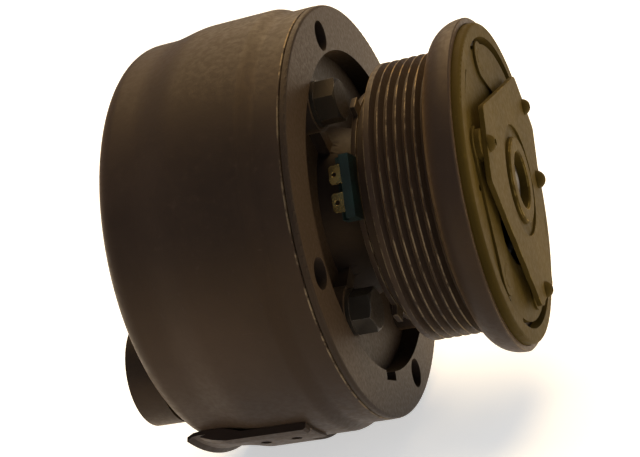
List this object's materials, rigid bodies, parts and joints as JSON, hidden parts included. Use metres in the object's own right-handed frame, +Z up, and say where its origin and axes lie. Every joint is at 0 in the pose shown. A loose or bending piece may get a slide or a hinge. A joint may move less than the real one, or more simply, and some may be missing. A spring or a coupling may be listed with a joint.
{
  "type": "air-conditioning compressor with electromagnetic clutch",
  "caption": "Radial automotive air-conditioning compressor with its electromagnetic clutch: ribbed belt pulley, sprung armature and driver plate on the front of a round drum.",
  "frame": {"origin": "centre of the front head's mounting face, on the shaft's axis", "axes": "+X along the shaft towards the clutch, +Z up through the top mounting hole"},
  "size_m": [0.1577, 0.1716, 0.1732],
  "materials": {
    "black_paint": "satin black paint",
    "black_casting": "cast, painted satin black",
    "clutch_black": "satin black coating, worn at the edges",
    "cast_aluminium": "as cast, machined on the joints",
    "bolt_steel": "dark phosphated steel",
    "bright_steel": "ground steel",
    "rotor_iron": "machined soft iron",
    "winding_copper": "enamelled copper wire",
    "coil_plastic": "moulded",
    "coil_resin": "poured resin",
    "seal_rubber": "moulded rubber",
    "seal_carbon": "lapped carbon or filled plastic",
    "seal_ceramic": "lapped ceramic",
    "connector_plastic": "moulded dark green plastic",
    "terminal_brass": "stamped brass"
  },
  "bodies": {
    "housing": {"front_head": "black_casting", "head_bolts": "bolt_steel", "head_o_ring": "seal_rubber", "shell": "black_paint", "shell_strap": "black_paint", "cylinder_block": "black_casting", "block_o_ring": "seal_rubber", "valve_plates": "bright_steel", "discharge_reeds": "bright_steel", "valve_plate_rings": "bright_steel", "front_pair_pistons": "cast_aluminium", "rear_pair_pistons": "cast_aluminium", "piston_rings": "seal_carbon", "front_yoke": "bright_steel", "rear_yoke": "bright_steel", "relief_valve": "bolt_steel", "control_switch": "cast_aluminium", "switch_retaining_ring": "bright_steel", "front_bearing_cup": "bright_steel", "rear_bearing_cup": "bright_steel", "thrust_washers": "bright_steel", "seal_seat": "seal_ceramic", "seal_seat_o_ring": "seal_rubber", "seal_retaining_ring": "bright_steel", "coil_plate": "black_paint", "coil_housing": "black_paint", "coil_bobbin": "coil_plastic", "coil_winding": "winding_copper", "coil_resin": "coil_resin", "connector_body": "connector_plastic", "terminal_upper": "terminal_brass", "terminal_lower": "terminal_brass", "bearing_inner_ring": "bright_steel", "bearing_retaining_ring": "bright_steel"},
    "shaft": {"crankshaft": "bright_steel", "rear_crank": "bright_steel", "counterweight": "rotor_iron", "shaft_key": "bright_steel", "shaft_seal": "seal_rubber", "seal_carbon": "seal_carbon", "hub": "clutch_black", "shaft_nut": "bolt_steel", "driver_plate": "clutch_black", "driver_rivets": "clutch_black", "balance_rivet": "clutch_black", "leaf_springs": "clutch_black", "spring_spacers": "clutch_black"},
    "front_rollers": {"front_needles": "bright_steel"},
    "rear_rollers": {"rear_needles": "bright_steel"},
    "slider": {"slider_block": "bright_steel"},
    "armature": {"armature_plate": "clutch_black", "armature_rivets": "clutch_black"},
    "pulley": {"rotor": "rotor_iron", "pulley_rim": "black_paint", "bearing_outer_ring": "bright_steel", "bearing_seals": "seal_rubber"},
    "ball_cage": {"bearing_balls": "bright_steel", "bearing_cage": "bright_steel"}
  },
  "joints": [
    {"name": "shaft_spin", "type": "hinge", "parent": "housing", "child": "shaft", "pos_m": [0, 0, 0], "axis": [1, 0, 0], "continuous": true},
    {"name": "pulley_spin", "type": "hinge", "parent": "housing", "child": "pulley", "pos_m": [0, 0, 0], "axis": [1, 0, 0], "continuous": true},
    {"name": "ball_cage_spin", "type": "hinge", "parent": "housing", "child": "ball_cage", "pos_m": [0, 0, 0], "axis": [1, 0, 0], "continuous": true},
    {"name": "front_rollers_spin", "type": "hinge", "parent": "housing", "child": "front_rollers", "pos_m": [0, 0, 0], "axis": [1, 0, 0], "continuous": true},
    {"name": "rear_rollers_spin", "type": "hinge", "parent": "housing", "child": "rear_rollers", "pos_m": [0, 0, 0], "axis": [1, 0, 0], "continuous": true},
    {"name": "slider_counter_turn", "type": "hinge", "parent": "shaft", "child": "slider", "pos_m": [-0.0484, 0.0041, 0.01128], "axis": [1, 0, 0], "continuous": true},
    {"name": "armature_pull_in", "type": "slide", "parent": "shaft", "child": "armature", "axis": [-1, 0, 0], "range_m": [0, 0.0005], "stiffness_N_per_m": 20000}
  ],
  "couplings": [
    {"joint": "ball_cage_spin", "follows": "pulley_spin", "ratio": 0.57356},
    {"joint": "front_rollers_spin", "follows": "shaft_spin", "ratio": 0.43269},
    {"joint": "rear_rollers_spin", "follows": "shaft_spin", "ratio": 0.42424},
    {"joint": "slider_counter_turn", "follows": "shaft_spin", "ratio": -1}
  ]
}
